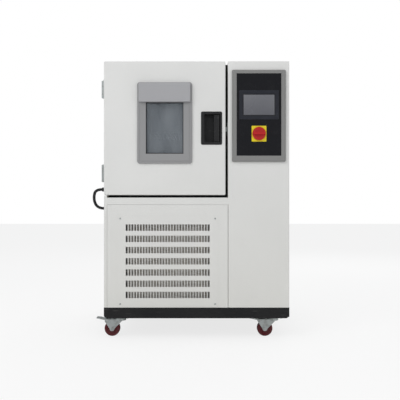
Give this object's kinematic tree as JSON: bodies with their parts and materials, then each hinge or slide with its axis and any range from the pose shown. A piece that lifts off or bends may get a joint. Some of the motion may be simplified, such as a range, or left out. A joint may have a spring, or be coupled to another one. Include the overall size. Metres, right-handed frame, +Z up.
{
  "type": "environmental test chamber",
  "caption": "Floor-standing temperature test chamber on casters: insulated door with lit window and flush handle, control column with touch screen, and a slotted machine-room grille.",
  "frame": {"origin": "on the floor, under the middle of the whole outline", "axes": "+X to the right seen from the front, +Y to the back, +Z up; the door, window and controls face -Y"},
  "size_m": [1.0271, 0.9883, 1.42],
  "materials": {
    "cabinet_paint": "satin",
    "black_paint": "satin",
    "stainless": "satin",
    "zinc_steel": "satin",
    "aluminium": "satin",
    "foam": "matte",
    "gasket_rubber": "matte",
    "silicone": "matte",
    "window_paint": "satin",
    "lamp_paint": "satin",
    "bezel_plastic": "satin",
    "control_black": "gloss",
    "screen": "gloss",
    "black_plastic": "satin",
    "yellow_plastic": "satin",
    "red_plastic": "gloss",
    "tread": "matte",
    "window_glass": "gloss",
    "lamp_glass": "gloss"
  },
  "bodies": {
    "cabinet": {"plinth": "black_paint", "left_side_panel": "cabinet_paint", "right_side_panel": "cabinet_paint", "rear_panel": "cabinet_paint", "top_panel": "cabinet_paint", "column_front_panel": "cabinet_paint", "lower_front_panel": "cabinet_paint", "grille_panel": "cabinet_paint", "panel_screws": "zinc_steel", "inner_frame": "black_paint", "chamber_insulation": "foam", "chamber_liner": "stainless", "air_duct_baffle": "stainless", "shelf_rails": "stainless", "wire_shelf": "stainless", "heater_coil": "stainless", "evaporator": "aluminium", "temperature_sensors": "stainless", "cable_port_sleeve": "stainless", "fan_motors": "black_paint", "control_bezel": "bezel_plastic", "control_plate": "control_black", "touch_screen": "screen", "switch_base": "yellow_plastic", "compressor_and_pipes": "black_paint", "condenser": "aluminium", "electrical_plate": "black_plastic", "latch_strike": "zinc_steel", "hinge_cabinet_leaves": "zinc_steel", "cable_glands": "black_plastic", "drain_stub": "stainless", "caster_plates": "zinc_steel"},
    "door": {"door_skin": "cabinet_paint", "door_insulation": "foam", "door_liner": "stainless", "door_gasket": "gasket_rubber", "window_frame": "window_paint", "window_glass": "window_glass", "lamp_cover": "lamp_paint", "window_lamp": "lamp_glass", "handle_cup": "black_plastic", "hinge_door_leaves": "zinc_steel", "door_conduit": "black_plastic", "door_conduit_gland": "black_plastic"},
    "handle_lever": {"handle_lever": "black_plastic"},
    "latch_bolt": {"latch_bolt": "zinc_steel"},
    "switch_knob": {"switch_knob": "red_plastic"},
    "circulation_fan": {"circulation_fan": "aluminium"},
    "condenser_fan": {"condenser_fan": "black_plastic"},
    "port_plug": {"port_plug": "silicone"},
    "caster_fork_front_left": {"caster_fork_front_left": "zinc_steel"},
    "caster_wheel_front_left": {"caster_wheel_front_left": "tread"},
    "brake_pedal_front_left": {"brake_pedal_front_left": "zinc_steel"},
    "caster_fork_front_right": {"caster_fork_front_right": "zinc_steel"},
    "caster_wheel_front_right": {"caster_wheel_front_right": "tread"},
    "brake_pedal_front_right": {"brake_pedal_front_right": "zinc_steel"},
    "caster_fork_rear_left": {"caster_fork_rear_left": "zinc_steel"},
    "caster_wheel_rear_left": {"caster_wheel_rear_left": "tread"},
    "caster_fork_rear_right": {"caster_fork_rear_right": "zinc_steel"},
    "caster_wheel_rear_right": {"caster_wheel_rear_right": "tread"}
  },
  "joints": [
    {"name": "door_hinge", "type": "hinge", "parent": "cabinet", "child": "door", "pos_m": [-0.464, -0.375, 1.0775], "axis": [0, 0, -1], "range_deg": [0, 110], "deforming": ["door_conduit"]},
    {"name": "handle_turn", "type": "hinge", "parent": "door", "child": "handle_lever", "pos_m": [0.137, -0.444, 1.0775], "axis": [0, 0, 1], "range_deg": [0, 30]},
    {"name": "latch_slide", "type": "slide", "parent": "door", "child": "latch_bolt", "axis": [-1, 0, 0], "range_m": [0, 0.01], "stiffness_N_per_m": 200},
    {"name": "main_switch_turn", "type": "hinge", "parent": "cabinet", "child": "switch_knob", "pos_m": [0.342, -0.45, 1.0475], "axis": [0, 1, 0], "range_deg": [0, 90]},
    {"name": "circulation_fan_spin", "type": "hinge", "parent": "cabinet", "child": "circulation_fan", "pos_m": [-0.1395, 0.028, 1.1725], "axis": [0, 1, 0], "continuous": true},
    {"name": "condenser_fan_spin", "type": "hinge", "parent": "cabinet", "child": "condenser_fan", "pos_m": [-0.124, -0.305, 0.384], "axis": [0, 1, 0], "continuous": true},
    {"name": "port_plug_slide", "type": "slide", "parent": "cabinet", "child": "port_plug", "axis": [-1, 0, 0], "range_m": [0, 0.08]},
    {"name": "caster_swivel_front_left", "type": "hinge", "parent": "cabinet", "child": "caster_fork_front_left", "pos_m": [-0.3745, -0.3735, 0.09], "axis": [0, 0, 1], "continuous": true},
    {"name": "wheel_roll_front_left", "type": "hinge", "parent": "caster_fork_front_left", "child": "caster_wheel_front_left", "pos_m": [-0.417, -0.3735, 0.04], "axis": [0, 1, 0], "continuous": true},
    {"name": "brake_pedal_press_front_left", "type": "hinge", "parent": "caster_fork_front_left", "child": "brake_pedal_front_left", "pos_m": [-0.448, -0.3735, 0.084], "axis": [0, -1, 0], "range_deg": [0, 15]},
    {"name": "caster_swivel_front_right", "type": "hinge", "parent": "cabinet", "child": "caster_fork_front_right", "pos_m": [0.4225, -0.3735, 0.09], "axis": [0, 0, 1], "continuous": true},
    {"name": "wheel_roll_front_right", "type": "hinge", "parent": "caster_fork_front_right", "child": "caster_wheel_front_right", "pos_m": [0.38, -0.3735, 0.04], "axis": [0, 1, 0], "continuous": true},
    {"name": "brake_pedal_press_front_right", "type": "hinge", "parent": "caster_fork_front_right", "child": "brake_pedal_front_right", "pos_m": [0.349, -0.3735, 0.084], "axis": [0, -1, 0], "range_deg": [0, 15]},
    {"name": "caster_swivel_rear_left", "type": "hinge", "parent": "cabinet", "child": "caster_fork_rear_left", "pos_m": [-0.3745, 0.3735, 0.09], "axis": [0, 0, 1], "continuous": true},
    {"name": "wheel_roll_rear_left", "type": "hinge", "parent": "caster_fork_rear_left", "child": "caster_wheel_rear_left", "pos_m": [-0.417, 0.3735, 0.04], "axis": [0, 1, 0], "continuous": true},
    {"name": "caster_swivel_rear_right", "type": "hinge", "parent": "cabinet", "child": "caster_fork_rear_right", "pos_m": [0.4225, 0.3735, 0.09], "axis": [0, 0, 1], "continuous": true},
    {"name": "wheel_roll_rear_right", "type": "hinge", "parent": "caster_fork_rear_right", "child": "caster_wheel_rear_right", "pos_m": [0.38, 0.3735, 0.04], "axis": [0, 1, 0], "continuous": true}
  ],
  "couplings": [
    {"joint": "handle_turn", "follows": "latch_slide", "rad_per_m": 52.3}
  ]
}
